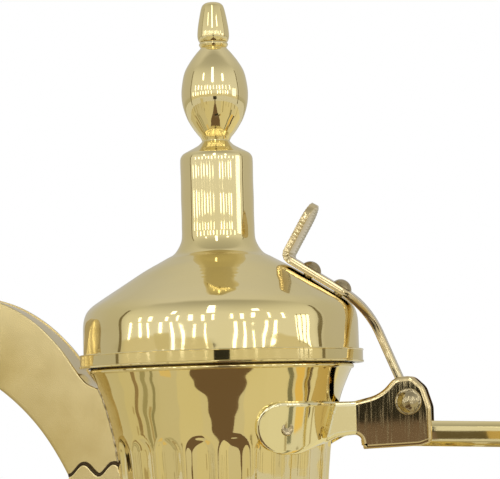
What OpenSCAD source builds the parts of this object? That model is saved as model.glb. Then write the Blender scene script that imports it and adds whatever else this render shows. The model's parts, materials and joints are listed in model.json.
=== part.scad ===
// Dallah coffee pot: fluted brass pot with a beak spout, a hinged lid with a tall finial and a bar handle.
// Millimetres, +Z up. The origin is on the pot's axis at table level; the spout points to -X, the handle to +X.

/* [Pot] */
// Height of the neck's rim above the table
rim_z = 186; // [180:1:192]
// Thickness of the sheet brass of the neck and belly
wall = 2; // [1.6:0.1:2.2]
// Radius of the neck at its waist
waist_r = 34.2; // [33.7:0.1:34.7]
// Largest radius of the belly
belly_r = 67; // [64:1:69]
// Radius of the foot where it stands on the table
foot_r = 56; // [54:1:58]
// Number of flutes around the neck
flute_count = 20; // [16:1:20]
// Depth of each flute below the neck's surface
flute_depth = 1.1; // [0.8:0.1:1.2]

/* [Spout] */
// Half width of the spout at the neck, outside
spout_root_half = 9.7; // [9:0.1:10.5]
// Half width of the spout at its tip, outside
spout_tip_half = 4.6; // [4:0.1:6]
// Thickness of the spout's sheet
spout_sheet = 1.4; // [1.2:0.1:1.6]
// Thickness of the scalloped shields on the spout's root
shield_sheet = 1.1; // [0.8:0.1:1.4]

/* [Lid] */
// Outside radius of the lid's straight side
lid_r = 45.8; // [45:0.1:46]
// Thickness of the lid's sheet
lid_wall = 1.4; // [1.2:0.1:1.6]
// Height of the band around the lid's lower edge
band_h = 4.4; // [4:0.1:5]
// Thickness of that band
band_wall = 1.7; // [1.4:0.1:2]
// Depth that the lid's sleeve reaches into the neck
sleeve_depth = 4.5; // [3.5:0.1:4.5]
// Radius of the finial's drum
drum_r = 12.15; // [12:0.05:12.5]
// Largest radius of the finial's egg
egg_r = 11.2; // [10.8:0.1:11.6]

/* [Hinge and strap] */
// Distance of the hinge pin from the pot's axis
pivot_x = 62.6; // [62.4:0.1:63]
// Depth of the hinge pin below the rim
pivot_drop = 13.3; // [13:0.1:13.5]
// Radius of the hinge pin
pin_r = 2.2; // [2:0.1:2.4]
// Radial clearance of the strap's knuckle on the pin
pin_clearance = 0.05; // [0.03:0.01:0.08]
// Clear width between the two bracket plates
hinge_gap = 6.4; // [6:0.1:7]
// Thickness of each bracket plate
plate = 1.5; // [1.3:0.1:1.7]
// Thickness of the thumb strap
strap_t = 2.4; // [2.2:0.1:2.5]
// Width of the strap where it lies on the lid
strap_w = 13; // [12:0.5:14]

/* [Handle] */
// Height of the handle's bar
bar_h = 8.3; // [8:0.1:8.4]
// Width of each bevel along the bar
bar_bevel = 1.7; // [1.2:0.1:2]

/* [Hidden] */
$fn = 96;

brass = [0.83, 0.74, 0.44];
amber = [0.80, 0.62, 0.30];
shade = [0.55, 0.46, 0.30];
big = 400;

lid_gap = 0.3;
neck_foot_z = 108;
neck_top_z = rim_z - 1.6;
foot_width = 8;
base_sheet = 1.8;
flute_top = rim_z - 22.5;
flute_bottom = 117;
flute_half = 4.7;
waist_z = 141;
waist_curve = 110;
pivot_z = rim_z - pivot_drop;
knuckle_r = 4;
bar_w = hinge_gap;
cheek_y = hinge_gap / 2 + plate;
rod_r = 2.5;
seat_r = 17.4;
seat_z = rim_z + 36.4;

// ---- outline helpers ----

// Point of a smooth curve through b and c, with a and d as their neighbours, at fraction t
function curve_point(a, b, c, d, t) =
    0.5 * (2 * b + (c - a) * t + (2 * a - 5 * b + 4 * c - d) * t * t + (3 * b - a - 3 * c + d) * t * t * t);

// Smooth curve through the given points, with the given number of steps between neighbours
function smooth(p, steps = 4) =
    let (n = len(p))
    [for (i = [0 : n - 2], k = [0 : steps - 1])
        curve_point(p[max(i - 1, 0)], p[i], p[i + 1], p[min(i + 2, n - 1)], k / steps),
     p[n - 1]];

function unit(v) = v / norm(v);
function left_of(v) = [-v[1], v[0]];

// The same line moved sideways by d, to the left of its direction
function beside(p, d) =
    let (n = len(p))
    [for (i = [0 : n - 1]) p[i] + d * left_of(unit(p[min(i + 1, n - 1)] - p[max(i - 1, 0)]))];

function reversed(p) = [for (i = [len(p) - 1 : -1 : 0]) p[i]];

// Closed outline of a sheet of thickness t that lies to the left of a line
function sheet(p, t) = concat(p, reversed(beside(p, t)));

// Corner points [x, y, radius] turned into an outline whose corners are arcs
function rounded(p, closed = true, steps = 6) =
    let (n = len(p))
    [for (i = [0 : n - 1])
        let (
            here = [p[i][0], p[i][1]],
            before = [p[(i + n - 1) % n][0], p[(i + n - 1) % n][1]],
            after = [p[(i + 1) % n][0], p[(i + 1) % n][1]],
            end = !closed && (i == 0 || i == n - 1),
            r = end ? 0 : p[i][2],
            u = unit(before - here),
            v = unit(after - here),
            half = acos(max(-1, min(1, u * v))) / 2,
            middle = here + unit(u + v) * r / sin(half),
            start = here + u * r / tan(half),
            finish = here + v * r / tan(half)
        )
        each r == 0 ? [here] :
            [for (k = [0 : steps])
                let (
                    a = atan2(start[1] - middle[1], start[0] - middle[0]),
                    b = atan2(finish[1] - middle[1], finish[0] - middle[0]),
                    turn = (b - a + 540) % 360 - 180
                )
                middle + r * [cos(a + turn * k / steps), sin(a + turn * k / steps)]]];

// Shape drawn in X and Z, given a thickness along Y that is centred on y
module upright(width, y = 0) {
    translate([0, y + width / 2, 0]) rotate([90, 0, 0]) linear_extrude(width) children();
}

// ---- outlines of the turned pieces: radius, height ----

neck_line = concat(
    smooth([[43.6, neck_foot_z], [39.6, 115], [36.6, 122]], 3),
    [for (z = [128 : 6.5 : 154]) [waist_r + pow(z - waist_z, 2) / (2 * waist_curve), z]],
    smooth([[35.8, rim_z - 25], [37.4, rim_z - 17.5], [39.5, rim_z - 10], [41.7, rim_z - 4.6], [43.1, neck_top_z]], 3));

belly_line = smooth([
    [foot_r - 6, 3], [foot_r - 4.5, 8], [60.5, 19], [belly_r - 0.8, 36], [belly_r, 48], [64.5, 63],
    [57.5, 80], [50, 95], [46, 104]], 3);

dome_line = concat(
    [[lid_r, rim_z + lid_gap], [lid_r, rim_z + 14.8]],
    smooth([[45.5, rim_z + 16.6], [44.6, rim_z + 18.7], [42.9, rim_z + 20.6], [40.4, rim_z + 22.4]], 2),
    smooth([[33.4, rim_z + 26.9], [25.2, rim_z + 32.1], [19.9, rim_z + 35], [seat_r, seat_z]], 2),
    [[rod_r + 0.1, seat_z]]);

drum_line = concat(
    smooth([[seat_r, seat_z], [15.2, rim_z + 37.6], [13.7, rim_z + 39.4], [12.5, rim_z + 41.9],
        [drum_r, rim_z + 44.4]], 3),
    [[drum_r, rim_z + 69.4]]);

shoulder_line = smooth([[drum_r, rim_z + 69.4], [11.5, rim_z + 71.2], [8.9, rim_z + 72.5], [6.2, rim_z + 74],
    [4.65, rim_z + 75.7]], 3);

egg_line = smooth([[4.65, rim_z + 75.7], [6.1, rim_z + 78], [8.0, rim_z + 80.7], [9.5, rim_z + 83.5],
    [egg_r - 0.4, rim_z + 87.6], [egg_r, rim_z + 91.6], [egg_r - 0.4, rim_z + 95.6], [9.9, rim_z + 99.2],
    [8.1, rim_z + 102.4], [6.1, rim_z + 105.1], [4.25, rim_z + 107.4]], 3);

cap_line = smooth([[4.7, rim_z + 109.2], [5.35, rim_z + 111.4], [5.1, rim_z + 114.4], [4.35, rim_z + 118.6],
    [3.6, rim_z + 121.2], [2.4, rim_z + 122.4], [0, rim_z + 122.8]], 3);

// Shell turned around the axis from its outer line, which runs upward
module turned_shell(line, t) {
    rotate_extrude() polygon(sheet(line, t));
}

// Solid turned around the axis from its outer line, which runs upward
module turned_solid(line) {
    rotate_extrude() polygon(concat([[0, line[0][1]]], line, [[0, line[len(line) - 1][1]]]));
}

// Ring turned around the axis from its cross-section's corners
module turned_ring(corners) {
    rotate_extrude() polygon(rounded(corners));
}

// Everything that the neck's surface encloses
module neck_body() {
    turned_solid(neck_line);
}

// ---- pot ----

module belly() {
    color(brass) difference() {
        turned_shell(belly_line, wall);
        for (z = [foot_rivet_upper_z, foot_rivet_lower_z]) handle_rivet_shank(z);
    }
}

module base_disc() {
    color(shade) cylinder(r = foot_r - foot_width, h = base_sheet);
}

module foot_ring() {
    color(brass) turned_ring([[foot_r - foot_width, 0, 0], [foot_r, 0, 0.6], [foot_r, 1.8, 0.8],
        [foot_r - 3.4, 3.6, 1.5], [foot_r - 4.6, 7.2, 0.6], [foot_r - 4.2, 7.4, 0], [foot_r - 6, 3, 0],
        [foot_r - foot_width, 3, 0]]);
}

module waist_ring() {
    color(brass) difference() {
        turned_ring([[42, 104, 0], [47.8, 104, 1.4], [48.6, 106.2, 1.6], [46.4, 108.4, 0.8],
            [45.6, 111.2, 1.2], [41, 111.2, 0], [42, 108, 0]]);
        neck_body();
    }
}

// Outline of one flute seen from the front: straight sides and round ends
module flute_outline() {
    translate([-flute_half, flute_bottom + flute_half]) square([2 * flute_half, flute_top - flute_bottom - 2 * flute_half]);
    for (z = [flute_bottom + flute_half, flute_top - flute_half]) translate([0, z]) circle(r = flute_half);
}

// Everything outside the bottoms of the flutes
module flute_skin() {
    difference() {
        turned_solid(beside(neck_line, -0.2));
        turned_solid(beside(neck_line, flute_depth));
    }
}

// Holes through the neck that lead into the spout
module strainer_holes() {
    for (row = [0 : 2], side = [-1, 0, 1])
        translate([-waist_r, side * 4.6, 142 + row * 7]) rotate([0, 90, 0]) cylinder(r = 1.7, h = 16, center = true);
}

// The flutes stop short on either side of the spout, where its sheet is soldered on
module flutes() {
    for (i = [0 : flute_count - 1])
        if (abs(i - flute_count / 2) > 1)
            rotate([0, 0, i * 360 / flute_count]) translate([waist_r / 2, 0, 0]) rotate([90, 0, 90])
                linear_extrude(waist_r) flute_outline();
}

module neck() {
    color(brass) difference() {
        turned_shell(neck_line, wall);
        translate([0, 0, neck_top_z]) cylinder(r = 60, h = 10);
        cylinder(r = 60, h = neck_foot_z);
        intersection() {
            flute_skin();
            flutes();
        }
        strainer_holes();
        bracket_rivet_shank(-1);
        bracket_rivet_shank(1);
    }
}

module mouth_ring() {
    color(amber) turned_ring([[41.4, neck_top_z, 0], [43.9, neck_top_z, 0.5], [43.9, rim_z, 0.5], [41.4, rim_z, 0.3]]);
}

// ---- spout ----

spout_root_x = -36;
spout_tip_x = -129;
cover_end_x = -104;
spout_taper = atan((spout_root_half - spout_tip_half) / (spout_root_x - spout_tip_x));

// Upper edge of the spout from the neck to the tip: x, height
spout_upper = smooth([[-38.6, rim_z - 6.4], [-43.8, rim_z - 4.6], [-47.5, rim_z - 0.6], [-53.7, rim_z + 8.2],
    [-63.1, rim_z + 17.3], [-75, rim_z + 24], [-90, rim_z + 27], [-105, rim_z + 23.8], [-118, rim_z + 16.4],
    [spout_tip_x, rim_z + 6.6]], 4);

// Lower edge of the spout from the tip to the neck
spout_lower = smooth([[spout_tip_x, rim_z + 6.6], [-119, rim_z + 8.6], [-104, rim_z + 7.2], [-88, rim_z + 1.8],
    [-74, rim_z - 6.2], [-61.8, rim_z - 18], [-52.4, rim_z - 32.5], [-47, rim_z - 46], [-43.4, rim_z - 60],
    [-40.2, rim_z - 69], [-38.5, rim_z - 74]], 4);

// Flat sheet laid on one side of the spout, its outer face at the spout's half width plus lift
module spout_side(side, t, lift = 0) {
    difference() {
        mirror([0, side > 0 ? 1 : 0, 0])
            translate([spout_root_x, -spout_root_half - lift, 0]) rotate([0, 0, -spout_taper])
                translate([-spout_root_x, 0, 0]) upright(t, t / 2) children();
        neck_body();
        turned_solid(belly_line);
        translate([0, 0, 104]) cylinder(r = 48.8, h = 7.4);
    }
}

module spout_outline() {
    polygon(concat(spout_upper, spout_lower, [[-30, rim_z - 74], [-30, rim_z - 6.2]]));
}

module spout_cheek(side) {
    color(brass) spout_side(side, spout_sheet) spout_outline();
}

module spout_cheek_front() { spout_cheek(-1); }
module spout_cheek_rear() { spout_cheek(1); }

// Strip between the cheeks along one edge of the spout
module spout_strip(line) {
    difference() {
        intersection() {
            upright(60) polygon(sheet(line, spout_sheet));
            translate([0, 0, rim_z - 100]) linear_extrude(160) spout_inside();
        }
        neck_body();
    }
}

// Plan of the space between the spout's cheeks
module spout_inside() {
    slope = tan(spout_taper);
    inner = spout_root_half - spout_sheet / cos(spout_taper);
    polygon([
        [spout_root_x + 10, -inner - 10 * slope], [spout_root_x + 10, inner + 10 * slope],
        [spout_tip_x - 2, inner - (spout_root_x - spout_tip_x + 2) * slope],
        [spout_tip_x - 2, -inner + (spout_root_x - spout_tip_x + 2) * slope]]);
}

// The cover ends short of the tip, so that the beak is open on top where the coffee leaves it
module spout_cover() {
    color(brass) spout_strip([for (p = spout_upper) if (p[0] > cover_end_x) p]);
}

module spout_floor() {
    color(amber) spout_strip(spout_lower);
}

scallop_pitch = 10.4;
scallop_rise = 1.9;
scallop_z = rim_z - 33.1;
scallop_peak_x = -45.5;

function scallop(x) = [x, scallop_z + scallop_rise * cos(360 * (x - scallop_peak_x) / scallop_pitch)];

// Plate with a scalloped upper edge that covers the spout's root
module shield_outline() {
    polygon(concat(
        [for (x = [-50.4 : 0.65 : -31]) scallop(x)],
        [[-31, rim_z - 74], [-39, rim_z - 74], [-40.8, rim_z - 69], [-44, rim_z - 60], [-47.6, rim_z - 46]]));
}

module spout_shield(side) {
    color(brass) spout_side(side, shield_sheet, shield_sheet / cos(spout_taper) + 0.005) shield_outline();
}

module spout_shield_front() { spout_shield(-1); }
module spout_shield_rear() { spout_shield(1); }

// ---- bracket and hinge pin ----

lug_x = 26.2;
lug_z = rim_z - 20.9;
lug_half = 8.3;
rivet_turn = 45.4;
lug_r = 36.6;

// Outline of one bracket plate seen from the side: a round lug on the neck, then the cheek that holds the pin
bracket_corners = [
    [lug_x - lug_half, lug_z + lug_half, lug_half - 0.05], [44.6, rim_z - 12.7, 6], [53.4, rim_z - 10.6, 12],
    [58.2, rim_z - 5.3, 5], [63.9, rim_z - 4.9, 4], [67.8, rim_z - 8.6, 5], [69.8, rim_z - 15, 6],
    [69.8, rim_z - 26.4, 1.6], [66, rim_z - 27.6, 4], [47.4, rim_z - 28.3, 0.5], [46.6, rim_z - 23.4, 2.6],
    [39.6, rim_z - 24, 6],
    [29, rim_z - 29.2, 6], [lug_x - lug_half, lug_z - lug_half, lug_half - 0.05]];

// Plan of one plate beyond the neck: a slanted facet, then the straight cheek
plate_plan = [[35.6, -9.6], [45.4, -cheek_y], [72, -cheek_y], [72, -hinge_gap / 2], [45.8, -hinge_gap / 2],
    [35.6, -7.8]];

module bracket_plate() {
    difference() {
        intersection() {
            upright(120) polygon(rounded(bracket_corners));
            union() {
                translate([0, 0, rim_z - 40]) linear_extrude(44) polygon(plate_plan);
                intersection() {
                    turned_solid(beside(neck_line, -plate));
                    translate([0, -60, 0]) cube([40, 52.2, big]);
                }
            }
        }
        neck_body();
        bracket_rivet_shank(-1);
        pin_shaft();
    }
}

module bracket_front() {
    color(shade) bracket_plate();
}

module bracket_rear() {
    color(shade) mirror([0, 1, 0]) bracket_plate();
}

module bracket_rivet_shank(side) {
    rotate([0, 0, side * rivet_turn]) translate([lug_r - wall - 1.2, 0, lug_z]) rotate([0, 90, 0])
        cylinder(r = 2, h = wall + plate + 1.6);
}

module bracket_rivet(side) {
    color(amber) {
        bracket_rivet_shank(side);
        rotate([0, 0, side * rivet_turn]) translate([lug_r - wall - 1.9, 0, lug_z]) rotate([0, 90, 0])
            cylinder(r1 = 2.4, r2 = 3, h = 0.9);
    }
}

module bracket_rivet_front() { bracket_rivet(-1); }
module bracket_rivet_rear() { bracket_rivet(1); }

washer_r = 4.3;
washer_t = 0.8;
pin_head_r = 3.5;
pin_head_h = 1.8;
pin_end = cheek_y + washer_t;

module pin_shaft() {
    translate([pivot_x, 0, pivot_z]) rotate([90, 0, 0]) cylinder(r = pin_r, h = 2 * pin_end, center = true);
}

// Low domed head that stands on a flat face at the origin, pointing to +Z
module domed_head(r, h) {
    ball_r = (r * r + h * h) / (2 * h);
    intersection() {
        translate([0, 0, h - ball_r]) sphere(r = ball_r);
        cylinder(r = r, h = h);
    }
}

module hinge_pin() {
    color(amber) {
        pin_shaft();
        for (side = [-1, 1])
            translate([pivot_x, side * pin_end, pivot_z]) rotate([-90 * side, 0, 0]) domed_head(pin_head_r, pin_head_h);
    }
}

module pin_washer(side) {
    color(brass) translate([pivot_x, side * (cheek_y + washer_t / 2), pivot_z]) rotate([90, 0, 0]) difference() {
        cylinder(r = washer_r, h = washer_t, center = true);
        cylinder(r = pin_r, h = washer_t + 1, center = true);
    }
}

module pin_washer_front() { pin_washer(-1); }
module pin_washer_rear() { pin_washer(1); }

// ---- handle ----

bar_slope = -2;
bar_start = [46.6, rim_z - 23];
bar_run = 57;
elbow_r = 16;
elbow_end = -97;
drop_run = 38;
return_r = 34;
return_end = -165;
return_run = 27.5;

function ahead(p, heading, run) = p + run * [cos(heading), sin(heading)];
function turn_centre(p, heading, r) = p + r * [sin(heading), -cos(heading)];
function turn_exit(p, heading, r, to) = turn_centre(p, heading, r) + r * [-sin(to), cos(to)];

elbow_start = ahead(bar_start, bar_slope, bar_run);
drop_start = turn_exit(elbow_start, bar_slope, elbow_r, elbow_end);
return_start = ahead(drop_start, elbow_end, drop_run);
foot_start = turn_exit(return_start, elbow_end, return_r, return_end);

// Points and headings along the middle of the bar: [x, height, heading]
function bend_stations(p, heading, r, to, steps) =
    [for (k = [0 : steps])
        let (h = heading + (to - heading) * k / steps, q = turn_exit(p, heading, r, h))
        [q[0], q[1], h]];

bar_end = ahead(foot_start, return_end, return_run);
bar_stations = concat(
    [[bar_start[0], bar_start[1], bar_slope]],
    bend_stations(elbow_start, bar_slope, elbow_r, elbow_end, 10),
    bend_stations(return_start, elbow_end, return_r, return_end, 10),
    [[bar_end[0], bar_end[1], return_end]]);

// Cross-section of the bar, a rectangle with bevelled edges: [across, up]
bar_section = let (w = bar_w / 2, h = bar_h / 2, b = bar_bevel)
    [[b - w, -h], [w - b, -h], [w, b - h], [w, h - b], [w - b, h], [b - w, h], [-w, h - b], [-w, b - h]];

// One closed solid swept through the stations
module swept_bar() {
    sides = len(bar_section);
    last = len(bar_stations) - 1;
    polyhedron(
        points = [for (s = bar_stations, c = bar_section) [s[0] - c[1] * sin(s[2]), c[0], s[1] + c[1] * cos(s[2])]],
        faces = concat(
            [[for (j = [0 : sides - 1]) j]],
            [[for (j = [sides - 1 : -1 : 0]) last * sides + j]],
            [for (i = [0 : last - 1], j = [0 : sides - 1])
                let (k = (j + 1) % sides)
                [i * sides + j, (i + 1) * sides + j, (i + 1) * sides + k, i * sides + k]]));
}

module handle_bar() {
    color(brass) difference() {
        swept_bar();
        turned_solid(beside(belly_line, -foot_plate));
    }
}

foot_plate = 1.5;
foot_z = 70;
leaf_half = 9;
leaf_tip = 21;

// Leaf-shaped plate that lies on the belly under the handle's end
module handle_foot() {
    color(brass) difference() {
        intersection() {
            difference() {
                turned_solid(beside(belly_line, -foot_plate));
                turned_solid(belly_line);
            }
            translate([30, 0, foot_z]) rotate([90, 0, 90]) linear_extrude(60) polygon(concat(
                smooth([[0, -leaf_tip], [5, -14], [leaf_half, -3], [6.5, 8], [0, leaf_tip - 4]], 4),
                smooth([[0, leaf_tip - 4], [-6.5, 8], [-leaf_half, -3], [-5, -14], [0, -leaf_tip]], 4)));
        }
        for (z = [foot_rivet_upper_z, foot_rivet_lower_z]) handle_rivet_shank(z);
    }
}

foot_rivet_upper_z = foot_z + 10;
foot_rivet_lower_z = foot_z - 13;

// Outer radius of the belly at a height, read from its line
function belly_radius(z) = lookup(z, [for (p = belly_line) [p[1], p[0]]]);

module handle_rivet_shank(z) {
    translate([belly_radius(z) - wall - 0.4, 0, z]) rotate([0, 90, 0]) cylinder(r = 1.6, h = wall + foot_plate + 2);
}

module handle_rivet(z) {
    color(amber) {
        handle_rivet_shank(z);
        translate([belly_radius(z) + foot_plate + 0.6, 0, z]) rotate([0, 90, 0]) domed_head(2.9, 1.3);
    }
}

module handle_rivet_upper() { handle_rivet(foot_rivet_upper_z); }
module handle_rivet_lower() { handle_rivet(foot_rivet_lower_z); }

// ---- lid ----

module dome_sheet() {
    turned_shell(dome_line, lid_wall);
}

module lid_dome() {
    color(brass) difference() {
        dome_sheet();
        for (along = strap_rivets) at_strap(along) strap_shank();
    }
}

module lid_band() {
    color(brass) turned_ring([[lid_r, rim_z + lid_gap, 0], [lid_r + band_wall, rim_z + lid_gap, 0.35],
        [lid_r + band_wall, rim_z + lid_gap + band_h, 0.7], [lid_r, rim_z + lid_gap + band_h, 0]]);
}

sleeve_r = 38.3;
sleeve_wall = 1.2;
flange_z = rim_z + 4;

module lid_sleeve() {
    color(shade) rotate_extrude() polygon([
        [sleeve_r - sleeve_wall, rim_z - sleeve_depth], [sleeve_r, rim_z - sleeve_depth], [sleeve_r, flange_z],
        [lid_r - lid_wall, flange_z], [lid_r - lid_wall, flange_z + sleeve_wall],
        [sleeve_r - sleeve_wall, flange_z + sleeve_wall]]);
}

finial_wall = 1.2;

module finial_drum() {
    color(brass) difference() {
        turned_shell(drum_line, finial_wall);
        translate([0, 0, seat_z - 10]) cylinder(r = seat_r + 1, h = 10);
    }
}

module finial_shoulder() {
    color(brass) difference() {
        turned_shell(shoulder_line, finial_wall);
        translate([0, 0, rim_z + 60]) cylinder(r = drum_r + 1, h = 9.4);
    }
}

module finial_egg() {
    color(brass) turned_shell(egg_line, finial_wall);
}

module finial_collar() {
    color(amber) turned_ring([[rod_r + 0.1, rim_z + 107.4, 0], [4.5, rim_z + 107.4, 0.3], [4.95, rim_z + 108.3, 0.6],
        [4.5, rim_z + 109.2, 0.3], [rod_r + 0.1, rim_z + 109.2, 0]]);
}

rod_top = rim_z + 117;

module finial_cap() {
    color(brass) difference() {
        turned_solid(cap_line);
        cylinder(r = rod_r, h = rod_top);
    }
}

nut_h = 3.6;
nut_top = seat_z - lid_wall;

module finial_rod() {
    color(shade) translate([0, 0, nut_top - nut_h - 2]) cylinder(r = rod_r, h = rod_top - nut_top + nut_h + 2);
}

module finial_nut() {
    color(shade) translate([0, 0, nut_top - nut_h]) difference() {
        cylinder(r = 5.2, h = nut_h, $fn = 6);
        translate([0, 0, -1]) cylinder(r = rod_r, h = nut_h + 2, $fn = 64);
    }
}

// ---- thumb strap ----

strap_bend = [23.1, rim_z + 35.4];
strap_turn = [49.4, rim_z + 18.6];
strap_tip = [33.2, rim_z + 52.8];
strap_slope = atan2(strap_bend[1] - strap_turn[1], strap_turn[0] - strap_bend[0]);
strap_rivets = [9.2, 21];
tab_angle = atan2(strap_tip[1] - strap_bend[1], strap_tip[0] - strap_bend[0]);
tab_length = norm(strap_tip - strap_bend);
shank_r = 1.6;
knuckle_w = hinge_gap - 0.6;
strap_end_w = knuckle_w - 0.4;
tab_w = strap_w - 0.5;
tab_round = tab_w / 2 - 0.2;

// Middle line of the strap from the tip of its thumb tab to the hinge pin
strap_line = rounded([[strap_tip[0] + cos(tab_angle), strap_tip[1] + sin(tab_angle), 0], [strap_bend[0], strap_bend[1], 2.2],
    [strap_turn[0], strap_turn[1], 32], [pivot_x, pivot_z, 0]], closed = false, steps = 8);

// Plan of the strap below its bend: full width on the lid, narrow between the bracket plates
strap_plan = [[16, -strap_w / 2], [42, -strap_w / 2], [54, -strap_end_w / 2], [70, -strap_end_w / 2],
    [70, strap_end_w / 2], [54, strap_end_w / 2], [42, strap_w / 2], [16, strap_w / 2]];

// Frame on the strap's middle line, at a distance from its bend, with +Z out of its upper face
module at_strap(along) {
    translate([strap_bend[0], 0, strap_bend[1]]) rotate([0, strap_slope, 0]) translate([along, 0, 0]) children();
}

module strap_shank() {
    translate([0, 0, -strap_t / 2 - 3.8]) cylinder(r = shank_r, h = strap_t + 4.1);
}

module thumb_strap() {
    color(brass) difference() {
        union() {
            intersection() {
                upright(strap_w + 2) polygon(concat(beside(strap_line, strap_t / 2),
                    reversed(beside(strap_line, -strap_t / 2))));
                union() {
                    translate([0, 0, rim_z - 40]) linear_extrude(40 + 37.4) polygon(strap_plan);
                    translate([strap_bend[0], 0, strap_bend[1]]) rotate([0, -tab_angle, 0])
                        translate([0, 0, -4]) linear_extrude(8) polygon(rounded([
                            [1, -tab_w / 2, 0], [tab_length, -tab_w / 2, tab_round],
                            [tab_length, tab_w / 2, tab_round], [1, tab_w / 2, 0]]));
                }
            }
            translate([pivot_x, 0, pivot_z]) rotate([90, 0, 0]) cylinder(r = knuckle_r, h = knuckle_w, center = true);
        }
        translate([pivot_x, 0, pivot_z]) rotate([90, 0, 0])
            cylinder(r = pin_r + pin_clearance, h = knuckle_w + 2, center = true);
        for (along = strap_rivets) at_strap(along) strap_shank();
    }
}

module strap_rivet(along) {
    color(shade) {
        at_strap(along) {
            strap_shank();
            translate([0, 0, strap_t / 2]) domed_head(3.35, 1.7);
        }
        difference() {
            at_strap(along) translate([0, 0, -strap_t / 2 - 4.4]) cylinder(r = 2.6, h = 3);
            dome_sheet();
        }
    }
}

module strap_rivet_upper() { strap_rivet(strap_rivets[0]); }
module strap_rivet_lower() { strap_rivet(strap_rivets[1]); }

belly();
base_disc();
foot_ring();
waist_ring();
neck();
mouth_ring();
spout_cheek_front();
spout_cheek_rear();
spout_cover();
spout_floor();
spout_shield_front();
spout_shield_rear();
bracket_front();
bracket_rear();
bracket_rivet_front();
bracket_rivet_rear();
hinge_pin();
pin_washer_front();
pin_washer_rear();
handle_bar();
handle_foot();
handle_rivet_upper();
handle_rivet_lower();
lid_dome();
lid_band();
lid_sleeve();
finial_drum();
finial_shoulder();
finial_egg();
finial_collar();
finial_cap();
finial_rod();
finial_nut();
thumb_strap();
strap_rivet_upper();
strap_rivet_lower();
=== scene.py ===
import json
from math import atan, atan2, cos, hypot, pi, radians, sin, sqrt, tan

import bmesh
import bpy
from mathutils import Matrix, Vector


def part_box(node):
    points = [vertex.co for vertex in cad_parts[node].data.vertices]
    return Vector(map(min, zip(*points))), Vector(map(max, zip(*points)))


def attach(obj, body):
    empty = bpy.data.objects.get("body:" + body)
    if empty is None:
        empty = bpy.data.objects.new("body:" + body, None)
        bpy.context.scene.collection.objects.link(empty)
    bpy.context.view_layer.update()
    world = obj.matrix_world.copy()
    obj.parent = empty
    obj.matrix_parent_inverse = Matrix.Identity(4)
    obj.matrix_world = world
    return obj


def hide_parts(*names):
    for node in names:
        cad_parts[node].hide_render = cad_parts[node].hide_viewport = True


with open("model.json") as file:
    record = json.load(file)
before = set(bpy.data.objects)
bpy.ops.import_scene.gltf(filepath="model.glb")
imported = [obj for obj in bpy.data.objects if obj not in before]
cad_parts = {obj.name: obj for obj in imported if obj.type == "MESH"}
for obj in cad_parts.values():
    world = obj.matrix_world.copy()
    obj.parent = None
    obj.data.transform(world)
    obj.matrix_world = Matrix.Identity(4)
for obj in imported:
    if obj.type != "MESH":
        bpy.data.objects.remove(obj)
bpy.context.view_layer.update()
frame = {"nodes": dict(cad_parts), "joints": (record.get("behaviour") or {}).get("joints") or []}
scene = bpy.context.scene

MM = 0.001


def box_mm(node):
    low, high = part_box(node)
    return low / MM, high / MM


# ---------------------------------------------------------------- sizes read from the frame

RIM = box_mm("mouth_ring")[1].z
NECK_FOOT = box_mm("neck")[0].z
LID_FOOT = box_mm("lid_dome")[0].z
FOOT_R = box_mm("foot_ring")[1].x
PIVOT = Vector(frame["joints"][0]["pos_m"]) / MM
HINGE_HALF = -box_mm("bracket_front")[1].y
PIN_HALF = -box_mm("pin_washer_front")[0].y

SIDES = ((-1, "front"), (1, "rear"))


# ---------------------------------------------------------------- lines and outlines

def evenly(start, step, count):
    """Numbers from a start, one step apart."""
    return [start + step * k for k in range(count)]


def curve_point(a, b, c, d, t):
    """Point of a smooth curve between b and c, at fraction t."""
    return tuple(
        0.5 * (2 * q + (r - p) * t + (2 * p - 5 * q + 4 * r - s) * t * t + (3 * q - p - 3 * r + s) * t ** 3)
        for p, q, r, s in zip(a, b, c, d))


def smooth(points, steps=8):
    """Smooth curve through the points, with the given steps between neighbours."""
    last = len(points) - 1
    line = []
    for i in range(last):
        around = points[max(i - 1, 0)], points[i], points[i + 1], points[min(i + 2, last)]
        line += [curve_point(*around, k / steps) for k in range(steps)]
    return line + [tuple(points[last])]


def beside(line, distance, closed=False):
    """The line moved to its left by a distance, or by one distance per point."""
    n = len(line)
    moved = []
    for i, (x, z) in enumerate(line):
        before = line[i - 1] if closed or i else line[0]
        after = line[(i + 1) % n] if closed or i < n - 1 else line[-1]
        dx, dz = after[0] - before[0], after[1] - before[1]
        run = hypot(dx, dz) or 1.0
        d = distance[i] if isinstance(distance, list) else distance
        moved.append((x - d * dz / run, z + d * dx / run))
    return moved


def rounded(corners, steps=6, closed=True):
    """Corners (x, z, radius) turned into an outline whose corners are arcs."""
    n = len(corners)
    outline = []
    for i, (x, z, r) in enumerate(corners):
        here = Vector((x, z))
        if r == 0 or (not closed and i in (0, n - 1)):
            outline.append((x, z))
            continue
        u = (Vector(corners[i - 1][:2]) - here).normalized()
        v = (Vector(corners[(i + 1) % n][:2]) - here).normalized()
        half = u.angle(v) / 2
        centre = here + (u + v).normalized() * r / sin(half)
        start = here + u * r / tan(half) - centre
        end = here + v * r / tan(half) - centre
        first = atan2(start.y, start.x)
        turn = (atan2(end.y, end.x) - first + pi) % (2 * pi) - pi
        outline += [tuple(centre + Vector((cos(first + turn * k / steps), sin(first + turn * k / steps))) * r)
                    for k in range(steps + 1)]
    return outline


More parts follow.
